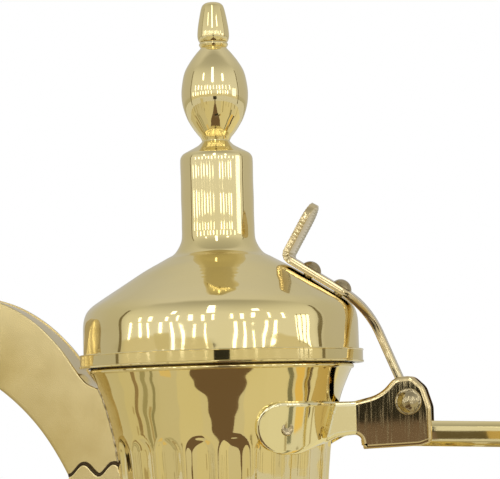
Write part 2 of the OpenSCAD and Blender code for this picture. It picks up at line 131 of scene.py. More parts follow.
def resampled(line, spacing):
    """The same open line with points at an even spacing."""
    lengths = [0.0]
    for a, b in zip(line, line[1:]):
        lengths.append(lengths[-1] + hypot(b[0] - a[0], b[1] - a[1]))
    count = max(2, round(lengths[-1] / spacing))
    even, i = [], 0
    for k in range(count + 1):
        at = lengths[-1] * k / count
        while i < len(line) - 2 and lengths[i + 1] < at:
            i += 1
        t = (at - lengths[i]) / ((lengths[i + 1] - lengths[i]) or 1.0)
        even.append(tuple(p + (q - p) * t for p, q in zip(line[i], line[i + 1])))
    return even


def radius_at(line, z):
    """Radius of a turned line at a height."""
    for (r0, z0), (r1, z1) in zip(line, line[1:]):
        if min(z0, z1) <= z <= max(z0, z1) and z0 != z1:
            return r0 + (r1 - r0) * (z - z0) / (z1 - z0)
    return line[0][0] if z < line[0][1] else line[-1][0]


def above_rim(points):
    """Points given as radius and height above the rim, as radius and height above the table."""
    return [(r, RIM + h) for r, h in points]


# ---------------------------------------------------------------- mesh making

SHARP = radians(34)
WELD_M = 1e-7
CORE = 0.01
WIDE_SEGMENTS = 256
SMALL_SEGMENTS = 96
DOME_STEPS = 9


def add_mesh(name, points, faces, body, replaced, material):
    """Object from points in millimetres that rides on a body and stands for CAD nodes."""
    mesh = bpy.data.meshes.new(name)
    mesh.from_pydata([Vector(p) * MM for p in points], [], faces)
    welded = bmesh.new()
    welded.from_mesh(mesh)
    bmesh.ops.remove_doubles(welded, verts=welded.verts, dist=WELD_M)
    bmesh.ops.recalc_face_normals(welded, faces=welded.faces)
    welded.to_mesh(mesh)
    welded.free()
    return add_object(name, mesh, body, replaced, material)


def add_object(name, mesh, body, replaced, material):
    """Smooth-shaded object with its material, body, slot and the CAD nodes that it stands for."""
    mesh.polygons.foreach_set("use_smooth", [True] * len(mesh.polygons))
    mesh.set_sharp_from_angle(angle=SHARP)
    piece = bpy.data.objects.new(name, mesh)
    scene.collection.objects.link(piece)
    mesh.materials.append(material)
    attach(piece, body)
    if replaced:
        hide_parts(*replaced)
    return piece


def lathe_grid(loop, segments, shape=None):
    """Points and faces of a closed loop of (radius, height) turned around the axis."""
    points, faces = [], []
    rows = len(loop)
    for r, z in loop:
        for k in range(segments):
            turn = 2 * pi * k / segments
            here = shape(turn, r, z) if shape else r
            points.append((here * cos(turn), here * sin(turn), z))
    for i in range(rows):
        for k in range(segments):
            a, b = i * segments + k, i * segments + (k + 1) % segments
            c = (i + 1) % rows * segments
            faces.append((a, b, c + (k + 1) % segments, c + k))
    return points, faces


def turned(name, loop, body, replaced, material, segments=192, shape=None):
    """Piece turned around the pot's axis from a closed loop of (radius, height)."""
    points, faces = lathe_grid(loop, segments, shape)
    return add_mesh(name, points, faces, body, replaced, material)


def turned_about(name, loop, origin, axis, body, replaced, material, segments=64):
    """Small turned piece whose own axis passes through origin."""
    points, faces = lathe_grid(loop, segments)
    swing = Vector((0, 0, 1)).rotation_difference(Vector(axis)).to_matrix()
    placed = [Vector(origin) + swing @ Vector(p) for p in points]
    return add_mesh(name, placed, faces, body, replaced, material)


def shell_loop(line, wall):
    """Closed loop of a sheet that lies to the left of a line."""
    return line + beside(line, wall)[::-1]


def solid_loop(line):
    """Closed loop of a solid between the axis and an upward line."""
    return [(CORE, line[0][1])] + line + [(CORE, line[-1][1])]


def domed_loop(r, h, shank_r, shank):
    """Loop of a rivet or pin head: radius and height of its dome, radius and length of its shank."""
    ball = (r * r + h * h) / (2 * h)
    across = [r * k / DOME_STEPS for k in range(DOME_STEPS + 1)]
    rise = [(a, h - ball + sqrt(ball * ball - a ** 2)) for a in across]
    return ([(CORE, -shank), (shank_r, -shank), (shank_r, 0), (r - 0.15, 0), (r, 0.12)]
            + [(max(a, CORE), b) for a, b in rise[::-1] if a < r - 0.05])


def swept(name, sections, body, replaced, material):
    """Piece skinned over a row of cross-sections that have the same number of points, with flat ends."""
    sides = len(sections[0])
    points = [p for section in sections for p in section]
    faces = []
    for i in range(len(sections) - 1):
        for j in range(sides):
            here, beyond = i * sides, (i + 1) * sides
            following = (j + 1) % sides
            faces.append((here + j, here + following, beyond + following, beyond + j))
    faces.append(tuple(range(sides)))
    faces.append(tuple(len(points) - sides + j for j in range(sides)))
    return add_mesh(name, points, faces, body, replaced, material)


BEAD_SIDES = 10
ASIDE = Vector((0.31, 0.87, 0.38))


def bead(name, path, radius, body, material, wobble=0.0):
    """Round bead along a path of 3-D points, used for brazing and for a painted shadow line; its thickness
    can wobble.
    """
    path = [Vector(p) for p in path]
    turns = [2 * pi * k / BEAD_SIDES for k in range(BEAD_SIDES)]
    sections = []
    for i, here in enumerate(path):
        along = (path[min(i + 1, len(path) - 1)] - path[max(i - 1, 0)]).normalized()
        side = along.cross(ASIDE).normalized()
        up = along.cross(side)
        r = radius * (1 + wobble * sin(i * 2.1) * cos(i * 0.73 + 0.4))
        sections.append([here + (side * cos(a) + up * sin(a)) * r for a in turns])
    return swept(name, sections, body, (), material)


# The rounded rim of a plate from its outer wall inward: parts of the rim's width, and parts of its drop.
RIM_BANDS = [(0.0, 0.0), (0.0, 1.0), (0.12, 0.52), (0.35, 0.24), (0.65, 0.06), (1.0, 0.0), (1.2, 0.0)]
DROP_OF_WIDTH = 0.6
DROP_OF_SHEET = 0.7
CUT_MM = 1e-5


def formed_plate(name, outline, surface, thickness, rim, body, replaced, material, cuts_u=(), cuts_v=()):
    """Sheet-metal plate: an outline in (u, v) laid on a surface(u, v, lift), its outer edge rounded.

    rim is the width of the rounded edge, one number or one per outline point. The plate is cut along the
    lines in cuts_u and cuts_v, so that it can follow a bent surface."""
    widths = rim if isinstance(rim, list) else [rim] * len(outline)
    area = sum(a[0] * b[1] - b[0] * a[1] for a, b in zip(outline, outline[1:] + outline[:1]))
    if area < 0:
        outline, widths = outline[::-1], widths[::-1]
    drops = [min(w * DROP_OF_WIDTH, thickness * DROP_OF_SHEET) for w in widths]
    bm = bmesh.new()
    rings = []
    for level, (inward, drop) in enumerate(RIM_BANDS):
        inset = beside(outline, [w * inward for w in widths], closed=True)
        lift = [0.0 if level == 0 else thickness - full * drop for full in drops]
        rings.append([bm.verts.new((u, v, h)) for (u, v), h in zip(inset, lift)])
    n = len(outline)
    for low, high in zip(rings, rings[1:]):
        for k in range(n):
            bm.faces.new((low[k], low[(k + 1) % n], high[(k + 1) % n], high[k]))
    bm.faces.new(rings[-1])
    bm.faces.new(rings[0][::-1])
    for axis, cuts in ((0, cuts_u), (1, cuts_v)):
        for at in cuts:
            place, normal = Vector((0, 0, 0)), Vector((0, 0, 0))
            place[axis], normal[axis] = at, 1.0
            everything = bm.verts[:] + bm.edges[:] + bm.faces[:]
            bmesh.ops.bisect_plane(bm, geom=everything, plane_co=place, plane_no=normal, dist=CUT_MM)
    for v in bm.verts:
        v.co = Vector(surface(v.co.x, v.co.y, v.co.z)) * MM
    bmesh.ops.recalc_face_normals(bm, faces=bm.faces)
    mesh = bpy.data.meshes.new(name)
    bm.to_mesh(mesh)
    bm.free()
    return add_object(name, mesh, body, replaced, material)


# ---------------------------------------------------------------- materials

PALE_GOLD = (0.89, 0.765, 0.42, 1)
WARM_GOLD = (0.86, 0.725, 0.35, 1)
SHEET_GOLD = (0.71, 0.59, 0.32, 1)
SHEET_WARM = (0.68, 0.55, 0.265, 1)
# Paler tint of the hinge lug and facet: a painted highlight.
LUG_HIGHLIGHT_GOLD = (0.95, 0.87, 0.55, 1)
CHEEK_GOLD = (0.74, 0.60, 0.33, 1)
PEENED_GOLD = (0.52, 0.44, 0.27, 1)
PEENED_DARK = (0.38, 0.30, 0.17, 1)
FILED_GOLD = (0.78, 0.68, 0.42, 1)
FILED_WARM = (0.66, 0.51, 0.27, 1)
OLD_GOLD = (0.62, 0.50, 0.27, 1)
OLD_DARK = (0.50, 0.38, 0.19, 1)
# Near-black colours of the bead that paints the shadow under the shield's scalloped edge.
SHADOW_BLACK = (0.10, 0.07, 0.04, 1)
SHADOW_BLACKER = (0.05, 0.035, 0.02, 1)
BROWN = (0.16, 0.11, 0.06, 1)

DRIFT_SCALE = 26.0
SMUDGE_SCALE = 90.0
SPECK_SCALE = 340.0
MARK_SCALE = 900.0
STREAK_SCALE = 1400.0
STREAK_ROUGH = 0.15
BRUSH_BLEND = 0.4
SPUN_MARKS = (0.15, 0.15, 3.0)

# X where the hinge bracket's plates turn flat, where their brushing starts and their painted highlight ends.
FACET_END_X = 45.4
BRUSHED_FROM = FACET_END_X + 0.1


class Nodes:
    """Short ways to add shader nodes to one material."""

    def __init__(self, tree):
        self.tree = tree
        self.place = tree.nodes.new("ShaderNodeTexCoord").outputs["Object"]

    def add(self, kind, **settings):
        node = self.tree.nodes.new(kind)
        for name, value in settings.items():
            setattr(node, name, value)
        return node

    def link(self, source, target):
        self.tree.links.new(source, target)

    def noise(self, scale, detail, stretch=(1, 1, 1), roughness=0.55):
        mapping = self.add("ShaderNodeMapping")
        mapping.inputs["Scale"].default_value = stretch
        self.link(self.place, mapping.inputs["Vector"])
        node = self.add("ShaderNodeTexNoise")
        node.inputs["Scale"].default_value = scale
        node.inputs["Detail"].default_value = detail
        node.inputs["Roughness"].default_value = roughness
        self.link(mapping.outputs["Vector"], node.inputs["Vector"])
        return node.outputs["Fac"]

    def ranged(self, value, low_in, high_in, low, high):
        node = self.add("ShaderNodeMapRange")
        for name, number in (("From Min", low_in), ("From Max", high_in), ("To Min", low), ("To Max", high)):
            node.inputs[name].default_value = number
        self.link(value, node.inputs["Value"])
        return node.outputs["Result"]

    def mix(self, factor, a, b):
        node = self.add("ShaderNodeMix", data_type="RGBA")
        self.link(factor, node.inputs["Factor"])
        for socket, value in ((node.inputs[6], a), (node.inputs[7], b)):
            if isinstance(value, tuple):
                socket.default_value = value
            else:
                self.link(value, socket)
        return node.outputs[2]

    def bump(self, height, distance, normal=None):
        node = self.add("ShaderNodeBump")
        node.inputs["Strength"].default_value = 1.0
        node.inputs["Distance"].default_value = distance
        self.link(height, node.inputs["Height"])
        if normal:
            self.link(normal, node.inputs["Normal"])
        return node.outputs["Normal"]


def brass(name, tint=PALE_GOLD, shade=WARM_GOLD, rough=(0.035, 0.09), waves=0.12, wave_scale=42.0,
          wave_stretch=(1, 1, 1), marks=(1, 1, 6), mark_depth=0.0012, spots=0.0, brushed_from=None):
    """Polished brass: slight colour drift, smudges, soft waviness, fine tool marks and small dull spots.

    The depths of waves and marks are in millimetres. With brushed_from, the shade and the tool marks are kept
    to the part beyond that X, and dull streaks are added there."""
    material = bpy.data.materials.new(name)
    material.use_nodes = True
    tree = material.node_tree
    shader = tree.nodes["Principled BSDF"]
    shader.inputs["Metallic"].default_value = 1.0
    n = Nodes(tree)
    roughness = n.ranged(n.noise(SMUDGE_SCALE, 5.0, roughness=0.65), 0.35, 0.75, *rough)
    soft = n.bump(n.noise(wave_scale, 1.0, wave_stretch), waves * MM)
    fine = n.bump(n.noise(MARK_SCALE, 2.0, marks), mark_depth * MM, normal=soft)
    if brushed_from:
        axes = n.add("ShaderNodeSeparateXYZ")
        n.link(n.place, axes.inputs["Vector"])
        start, end = (brushed_from - BRUSH_BLEND) * MM, (brushed_from + BRUSH_BLEND) * MM
        shaded = n.ranged(axes.outputs["X"], start, end, 0.0, 1.0)
        n.link(shaded, fine.node.inputs["Strength"])
        streak = n.ranged(n.noise(STREAK_SCALE, 2.0, marks), 0.48, 0.72, 0.0, STREAK_ROUGH)
        streaked = n.add("ShaderNodeMath", operation="MULTIPLY_ADD")
        for socket, value in zip(streaked.inputs, (streak, shaded, roughness)):
            n.link(value, socket)
        roughness = streaked.outputs["Value"]
    else:
        shaded = n.ranged(n.noise(DRIFT_SCALE, 2.0), 0.35, 0.7, 0.0, 1.0)
    colour = n.mix(shaded, tint, shade)
    if spots:
        speck = n.ranged(n.noise(SPECK_SCALE, 4.0), 0.68, 0.74, 0.0, spots)
        colour = n.mix(speck, colour, BROWN)
    n.link(colour, shader.inputs["Base Color"])
    n.link(roughness, shader.inputs["Roughness"])
    n.link(fine, shader.inputs["Normal"])
    return material


polished = brass("polished_brass")
spun = brass("spun_brass", waves=0.5, wave_scale=52.0, wave_stretch=(1, 1, 1.6), marks=SPUN_MARKS,
             mark_depth=0.0016)
spun_lid = brass("spun_lid_brass", waves=0.6, wave_scale=62.0, wave_stretch=(1, 1, 1.3), marks=SPUN_MARKS,
                 mark_depth=0.0005)
spun_drum = brass("spun_drum_brass", waves=0.08, wave_scale=110.0, marks=SPUN_MARKS, mark_depth=0.0003)
sheet = brass("sheet_brass", tint=SHEET_GOLD, shade=SHEET_WARM, rough=(0.13, 0.22), waves=0.06,
              wave_scale=24.0, marks=(6, 1, 6), mark_depth=0.0004)
# The bracket's lug and facet get a paler tint than its brushed cheek: a painted highlight.
brushed_highlit = brass("brushed_brass", tint=LUG_HIGHLIGHT_GOLD, shade=CHEEK_GOLD, rough=(0.04, 0.09), waves=0.05,
                marks=(0.9, 0.9, 0.05), mark_depth=0.005, brushed_from=BRUSHED_FROM)
peened = brass("hammered_brass", tint=PEENED_GOLD, shade=PEENED_DARK, rough=(0.12, 0.26), waves=0.35,
               wave_scale=520.0, spots=0.7)
nicked = brass("nicked_brass", tint=FILED_GOLD, shade=FILED_WARM, rough=(0.06, 0.16), waves=0.08,
               wave_scale=260.0, wave_stretch=(0.35, 1, 1))
dull = brass("dull_brass", tint=OLD_GOLD, shade=OLD_DARK, rough=(0.25, 0.45), spots=0.6)
# Near-black material of the bead that paints the shadow under the shield's edge.
seam_shadow = brass("painted_gap_shadow", tint=SHADOW_BLACK, shade=SHADOW_BLACKER, rough=(0.35, 0.6), waves=0.3, wave_scale=700.0)

# ---------------------------------------------------------------- pot: neck, belly and rings

WALL = 2.0
WAIST_R = 34.2
WAIST_Z = 141.0
WAIST_CURVE = 110.0
NECK_STEP = 0.85
FLUTES = 20
FLUTE_TOP = RIM - 22.5
FLUTE_BOTTOM = 117.0
FLUTE_HALF = 4.85
FLUTE_DEPTH = 1.25
FLUTE_FLATNESS = 3.2
FLUTE_EDGE = 1.15
SEGMENTS_PER_FLUTE = 24

waist = [(WAIST_R + (z - WAIST_Z) ** 2 / (2 * WAIST_CURVE), z) for z in evenly(128, 6.5, 5)]
neck_line = resampled(smooth(
    [(43.6, NECK_FOOT), (39.6, 115), (36.6, 122)] + waist
    + above_rim([(35.8, -25), (37.4, -17.5), (39.5, -10), (41.7, -4.6), (43.1, -1.6)])), NECK_STEP)
belly_line = smooth([
    (FOOT_R - 6, 3), (FOOT_R - 4.5, 8), (60.5, 19), (66.2, 36), (67, 48), (64.5, 63), (57.5, 80), (50, 95),
    (46, 104)])
mouth_ring = rounded([
    (41.4, RIM - 1.6, 0.3), (43.9, RIM - 1.6, 0.7), (43.9, RIM, 0.7), (41.4, RIM, 0.3)])
waist_ring = rounded([
    (42, 104, 0), (47.8, 104, 1.4), (48.6, 106.2, 1.6), (46.4, 108.4, 0.8), (45.6, 111.2, 1.2),
    (41.6, 111.2, 0.2), (43.5, 108.2, 0), (42, 108, 0)], 8)
foot_ring = rounded([
    (FOOT_R - 8, 0, 0), (FOOT_R, 0, 0.6), (FOOT_R, 1.8, 0.8), (FOOT_R - 3.4, 3.6, 1.5),
    (FOOT_R - 4.6, 7.2, 0.6), (FOOT_R - 4.2, 7.4, 0), (FOOT_R - 6, 3, 0), (FOOT_R - 8, 3, 0)], 8)


def fluted(turn, r, z):
    """Radius of the neck with its flutes pressed in; they stop beside the spout."""
    pitch = 2 * pi / FLUTES
    index = round(turn / pitch)
    if abs(index - FLUTES / 2) <= 1:
        return r
    across = (turn - index * pitch) * r
    past_end = max(0.0, z - (FLUTE_TOP - FLUTE_HALF), FLUTE_BOTTOM + FLUTE_HALF - z)
    t = hypot(across, past_end) / FLUTE_HALF
    return r - FLUTE_DEPTH * max(0.0, 1 - t ** FLUTE_FLATNESS) ** FLUTE_EDGE


turned("neck_skin", shell_loop(neck_line, WALL), "pot", ["neck"], spun, FLUTES * SEGMENTS_PER_FLUTE, fluted)
turned("belly_skin", shell_loop(belly_line, WALL), "pot", ["belly"], spun, WIDE_SEGMENTS)
turned("mouth_lip", mouth_ring, "pot", ["mouth_ring"], polished)
turned("waist_moulding", waist_ring, "pot", ["waist_ring"], polished)
turned("foot_moulding", foot_ring, "pot", ["foot_ring"], polished)

# ---------------------------------------------------------------- spout

ROOT_X = -36.0
TIP_X = -129.0
ROOT_HALF = 9.7
TIP_HALF = 4.6
TAPER = (ROOT_HALF - TIP_HALF) / (ROOT_X - TIP_X)
SPOUT_SHEET = 1.4
SPOUT_TOP = RIM - 6.5
SPOUT_FOOT = RIM - 74
UPPER_END_X = -41.5
COVER_END_X = -104.0
SEAM_DEPTH = 1.2
ROOT_STEP = 1.7
SHARPNESS = 0.12

spout_upper = resampled(smooth(above_rim([
    (-38.6, -6.4), (-43.8, -4.6), (-47.5, -0.6), (-53.7, 8.2), (-63.1, 17.3), (-75, 24), (-90, 27),
    (-105, 23.8), (-118, 16.4), (TIP_X, 6.6)])), 1.0)
spout_lower = resampled(smooth(above_rim([
    (TIP_X, 6.6), (-119, 8.6), (-104, 7.2), (-88, 1.8), (-74, -6.2), (-61.8, -18), (-52.4, -32.5), (-47, -46),
    (-43.4, -60), (-40.2, -69), (-38.5, -74)])), 1.0)


def spout_half(x):
    """Outside half width of the spout at a distance along it."""
    return ROOT_HALF - TAPER * (ROOT_X - x)


def on_neck(y, z, sink):
    """X of the neck's surface on the spout's side, at a width and a height, sunk a little into it."""
    r = radius_at(neck_line, z) - sink
    return -sqrt(max(r * r - y * y, 1.0))


def side_surface(side, lift_from):
    """Surface of one side of the spout, whose plate grows outward from lift_from."""
    def place(u, v, h):
        return u, side * (spout_half(u) + lift_from + h), v
    return place


def narrowed(width, here, corner):
    """Rim width that shrinks towards a sharp corner of the outline."""
    return max(0.02, min(width, SHARPNESS * hypot(here[0] - corner[0], here[1] - corner[1])))


def cheek_root_x(z):
    """X where a cheek meets the neck."""
    return on_neck(ROOT_HALF - 0.4, z, SEAM_DEPTH)


def cheek_outline():
    """Outline of one cheek, upper edge, lower edge, then up along the neck, and its rim's widths."""
    upper = [p for p in spout_upper if p[0] < UPPER_END_X]
    lower = [p for p in spout_lower if p[0] < cheek_root_x(p[1]) - 0.5]
    tip, foot = upper[-1], lower[-1]
    root = [(cheek_root_x(z), z) for z in evenly(SPOUT_FOOT, ROOT_STEP, 40)
            if foot[1] + 0.8 < z < SPOUT_TOP]
    lower = lower[1:]  # the tip is the upper edge's last point already
    widths = [narrowed(0.35, p, tip) for p in upper]
    widths += [min(narrowed(1.0, p, tip), narrowed(1.0, p, foot)) for p in lower]
    widths += [narrowed(0.1, p, foot) for p in root]
    return upper + lower + root, widths


SCALLOP_PITCH = 10.4
SCALLOP_RISE = 1.9
SCALLOP_Z = RIM - 33.1
SCALLOP_PEAK = -45.5
SHIELD_START_X = -50.6
SHIELD_FOOT = RIM - 68
SHIELD_SINK = 0.6
SHIELD_SHEET = 1.1
SHIELD_RIM = 0.45
SEAM_R = 0.62
JOINT_R = 0.42
JOINT_X = -38


def scallops(start, end, step, extra=0):
    """The scalloped line from a start to an end, with some extra points past the end."""
    xs = evenly(start, step, int((end - start) / step) + extra)
    return [(x, SCALLOP_Z + SCALLOP_RISE * cos(2 * pi * (x - SCALLOP_PEAK) / SCALLOP_PITCH)) for x in xs]


def shield_outline():
    """Outline of the shield: scalloped top, down the neck, then back up along the spout's edge."""
    top = scallops(SHIELD_START_X, on_neck(ROOT_HALF, SCALLOP_Z, SHIELD_SINK), 0.35)
    root = [(on_neck(ROOT_HALF, z, SHIELD_SINK), z) for z in evenly(SCALLOP_Z - 2, -ROOT_STEP, 21)
            if z > SHIELD_FOOT]
    edge = [p for p in spout_lower[::-1] if SHIELD_FOOT < p[1] < top[0][1] - 0.6]
    return top + root + beside(edge, SHIELD_RIM)


def shadow_and_brazing_beads(side, label):
    """Near-black bead painting the shadow under the shield's scallops, and brazing down the spout's root."""
    seam = scallops(SHIELD_START_X - 0.2, on_neck(ROOT_HALF, SCALLOP_Z, 0), 0.3, 2)
    bead(f"shield_shadow_bead_{label}", [(x, side * (spout_half(x) + 0.55), z + 0.45) for x, z in seam], SEAM_R,
         "pot", seam_shadow)
    joint_y = side * spout_half(JOINT_X)
    joint = [(on_neck(ROOT_HALF, z, -0.1), joint_y, z) for z in evenly(RIM - 6, -0.9, 68)]
    bead(f"spout_solder_{label}", joint, JOINT_R, "pot", peened, wobble=0.35)


for side, label in SIDES:
    outline, widths = cheek_outline()
    formed_plate(f"spout_side_{label}", outline, side_surface(side, -SPOUT_SHEET), SPOUT_SHEET, widths, "pot",
                 [f"spout_cheek_{label}"], sheet)
    formed_plate(f"shield_{label}", shield_outline(), side_surface(side, 0.0), SHIELD_SHEET, SHIELD_RIM,
                 "pot", [f"spout_shield_{label}"], sheet)
    shadow_and_brazing_beads(side, label)

# Points across a strip, as parts of its half width and of its sheet: it is crowned very slightly.
STRIP_CROWN = [(-1.0, 0.0), (-0.5, 0.02), (0.0, 0.03), (0.5, 0.02), (1.0, 0.0)]


def strip(name, line, recess, node):
    """Strip of sheet between the cheeks that follows an edge of the spout, a little inside it."""
    outer = beside(line, recess)
    inner = beside(line, recess + SPOUT_SHEET)
    sections = []
    for (xo, zo), (xi, zi) in zip(outer, inner):
        half = spout_half((xo + xi) / 2) - SPOUT_SHEET + 0.05
        sections.append([(xo + (xo - xi) * c, half * s, zo + (zo - zi) * c) for s, c in STRIP_CROWN]
                        + [(xi, half, zi), (xi, -half, zi)])
    swept(name, sections, "pot", [node], sheet)


strip("spout_top", [p for p in spout_upper if COVER_END_X < p[0] < -41], 0.3, "spout_cover")
strip("spout_under", [p for p in spout_lower if p[1] > RIM - 70], 0.5, "spout_floor")

# ---------------------------------------------------------------- hinge bracket

LUG_X = 26.2
LUG_Z = RIM - 20.9
LUG_HALF = 8.3
LUG_CORNER = LUG_HALF - 0.05
RIVET_TURN = radians(45.4)
FACET_SLOPE = 0.5
FOLD_STEP = 0.4
BRACKET_SHEET = 1.5
BRACKET_RIM = 1.35
CHEEK_OUT = HINGE_HALF + BRACKET_SHEET
PIN_R = 2.2
PIN_HEAD = (3.5, 1.8, 2.0, 0.5)

bracket_outline = rounded([
    (LUG_X - LUG_HALF, LUG_Z + LUG_HALF, LUG_CORNER), (44.6, RIM - 12.7, 6), (53.4, RIM - 10.6, 12),
    (58.2, RIM - 5.3, 5), (63.9, RIM - 4.9, 4), (67.8, RIM - 8.6, 5), (69.8, RIM - 15, 6),
    (69.8, RIM - 26.4, 1.6), (66, RIM - 27.6, 4), (47.4, RIM - 28.3, 0.5), (46.6, RIM - 23.4, 2.6),
    (39.6, RIM - 24, 6), (29, RIM - 29.2, 6), (LUG_X - LUG_HALF, LUG_Z - LUG_HALF, LUG_CORNER)], 10)
bend_lines = evenly(18.5, 0.9, 18) + evenly(35, 0.35, 20)
bend_lines += [FACET_END_X - FOLD_STEP, FACET_END_X, FACET_END_X + FOLD_STEP]
level_lines = evenly(RIM - 30, 1.2, 20)
dimpled_loop = [(CORE, -3.0), (2.3, -3.0), (2.3, -0.1), (2.1, 0.25), (1.6, 0.3), (1.0, 0.12), (CORE, 0.0)]
washer_loop = rounded([(PIN_R, 0, 0), (4.3, 0, 0.1), (4.3, 0.8, 0.35), (PIN_R, 0.8, 0)], 4)


def bracket_surface(side):
    """Surface of one bracket plate: wrapped on the neck, then a slanted facet, then a flat cheek."""
    def place(x, z, h):
        r = radius_at(neck_line, z) + h
        wrapped = sqrt(max(r * r - x * x, 0.0))
        folded = HINGE_HALF + h + FACET_SLOPE * max(FACET_END_X - x, 0.0)
        return x, side * max(wrapped, folded), z
    return place


for side, label in SIDES:
    formed_plate(f"bracket_plate_{label}", bracket_outline, bracket_surface(side), BRACKET_SHEET, BRACKET_RIM,
                 "pot", [f"bracket_{label}"], brushed_highlit, bend_lines, level_lines)
    outward = Vector((cos(RIVET_TURN), side * sin(RIVET_TURN), 0))
    lug_face = outward * (radius_at(neck_line, LUG_Z) + BRACKET_SHEET) + Vector((0, 0, LUG_Z))
    turned_about(f"lug_rivet_{label}", dimpled_loop, lug_face, outward, "pot", [f"bracket_rivet_{label}"],
                 peened)

shaft_loop = [(CORE, -PIN_HALF), (PIN_R, -PIN_HALF), (PIN_R, PIN_HALF), (CORE, PIN_HALF)]
turned_about("pin_shaft", shaft_loop, PIVOT, (0, 1, 0), "pot", ["hinge_pin"], polished)
for side, label in SIDES:
    turned_about(f"pin_head_{label}", domed_loop(*PIN_HEAD), PIVOT + Vector((0, side * PIN_HALF, 0)),
                 (0, side, 0), "pot", (), peened)
    turned_about(f"washer_{label}", washer_loop, PIVOT + Vector((0, side * CHEEK_OUT, 0)), (0, side, 0),
                 "pot", [f"pin_washer_{label}"], peened)

# ---------------------------------------------------------------- handle

BAR_H = 8.3
BAR_W = 2 * HINGE_HALF
BAR_BEVEL = 1.7
BAR_START = (46.6, RIM - 23)
BAR_RUN = 57
BAR_SLOPE = radians(-2)
ELBOW_R = 16
ELBOW_END = radians(-97)
DROP_RUN = 38
BACK_R = 34
RETURN_END = radians(-165)
RETURN_RUN = 25
BEND_STEPS = 36


def ahead(p, heading, run):
    return p[0] + run * cos(heading), p[1] + run * sin(heading)


def bend(p, heading, r, to):
    """Stations (x, z, heading) of a clockwise bend, and its last point."""
    cx, cz = p[0] + r * sin(heading), p[1] - r * cos(heading)
    stations = []
    for k in range(BEND_STEPS + 1):
        h = heading + (to - heading) * k / BEND_STEPS
        stations.append((cx - r * sin(h), cz + r * cos(h), h))
    return stations, stations[-1][:2]


elbow, elbow_exit = bend(ahead(BAR_START, BAR_SLOPE, BAR_RUN), BAR_SLOPE, ELBOW_R, ELBOW_END)
back, back_exit = bend(ahead(elbow_exit, ELBOW_END, DROP_RUN), ELBOW_END, BACK_R, RETURN_END)
bar_end = (*ahead(back_exit, RETURN_END, RETURN_RUN), RETURN_END)
bar_stations = [(*BAR_START, BAR_SLOPE)] + elbow + back + [bar_end]

half_w, half_h = BAR_W / 2, BAR_H / 2
bar_section = rounded([(s * (half_w - a), t * (half_h - b), 0.35) for s, t, a, b in (
    (-1, -1, BAR_BEVEL, 0), (1, -1, BAR_BEVEL, 0), (1, -1, 0, BAR_BEVEL), (1, 1, 0, BAR_BEVEL),
    (1, 1, BAR_BEVEL, 0), (-1, 1, BAR_BEVEL, 0), (-1, 1, 0, BAR_BEVEL), (-1, -1, 0, BAR_BEVEL))], 3)
swept("handle", [[(x - c * sin(h), a, z + c * cos(h)) for a, c in bar_section] for x, z, h in bar_stations],
      "pot", ["handle_bar"], polished)

LEAF_SHEET = 1.5
LEAF_Z = 70.0
LEAF_HALF = 9.0
LEAF_TIP = 21.0
LEAF_RIVET = (2.9, 1.5, 1.6, 4.0)
right_edge = smooth([(0, -LEAF_TIP), (5, -14), (LEAF_HALF, -3), (6.5, 8), (0, LEAF_TIP - 4)], 8)
left_edge = [(-y, z) for y, z in right_edge[-2:0:-1]]
leaf_outline = [(y, LEAF_Z + z) for y, z in right_edge + left_edge]


def on_belly(y, z, h):
    """Point on the belly's surface on the handle's side, at a width, a height and a lift."""
    r = radius_at(belly_line, z) + h
    return sqrt(r * r - y * y), y, z


formed_plate("handle_leaf", leaf_outline, on_belly, LEAF_SHEET, 0.7, "pot", ["handle_foot"], polished,
             evenly(-8, 1.6, 11), evenly(LEAF_Z - 20, 2.0, 20))
for z, label in ((LEAF_Z + 10, "upper"), (LEAF_Z - 13, "lower")):
    slope = atan((radius_at(belly_line, z + 2) - radius_at(belly_line, z - 2)) / 4)
    outward = Vector((cos(slope), 0, -sin(slope)))
    leaf_face = Vector((radius_at(belly_line, z), 0, z)) + outward * LEAF_SHEET
    turned_about(f"leaf_rivet_{label}", domed_loop(*LEAF_RIVET), leaf_face, outward, "pot",
                 [f"handle_rivet_{label}"], peened)

# ---------------------------------------------------------------- lid and finial

LID_R = 45.8
LID_WALL = 1.4
SEAT_H = 36.4
BAND_TOP = LID_FOOT + 4.4
DRUM_R = 12.15
FINIAL_WALL = 1.2


def rippled(line, low, high, depth, pitch):
    """A turned line with the slight ripple that a spinning tool leaves between two heights."""
    return [(r + (depth * sin(2 * pi * (z - low) / pitch) if low < z < high else 0.0), z) for r, z in line]


lid_side = above_rim([(LID_R, LID_FOOT - RIM), (LID_R, 2.0)])
dome_line = resampled(lid_side + smooth(above_rim([
    (LID_R, 2.0), (LID_R, 6.5), (LID_R - 0.02, 11.0), (45.7, 14.4), (45.35, 16.7), (44.5, 18.8), (42.9, 20.6),
    (40.4, 22.4), (33.4, 26.9), (25.2, 32.1), (19.9, 35.0), (17.4, SEAT_H)])), 0.5)
dome_line += above_rim([(2.6, SEAT_H)])
dome_line = rippled(dome_line, RIM + 27.5, RIM + 32.3, 0.012, 1.2)
band_outline = rounded([
    (LID_R, LID_FOOT, 0), (47.2, LID_FOOT, 0.15), (47.3, LID_FOOT + 0.6, 0.12), (47.0, LID_FOOT + 0.8, 0),
    (47.05, BAND_TOP - 0.5, 0), (47.3, BAND_TOP - 0.3, 0.1), (47.1, BAND_TOP, 0.1), (LID_R, BAND_TOP, 0)], 6)
drum_line = resampled(smooth(above_rim([
    (17.4, SEAT_H), (15.2, 37.6), (13.7, 39.4), (12.5, 41.9), (DRUM_R, 44.4), (DRUM_R, 48), (DRUM_R, 66),
    (DRUM_R, 69.4)])), 0.4)
drum_line = rippled(drum_line, RIM + 42.4, RIM + 69, 0.03, 11.2)
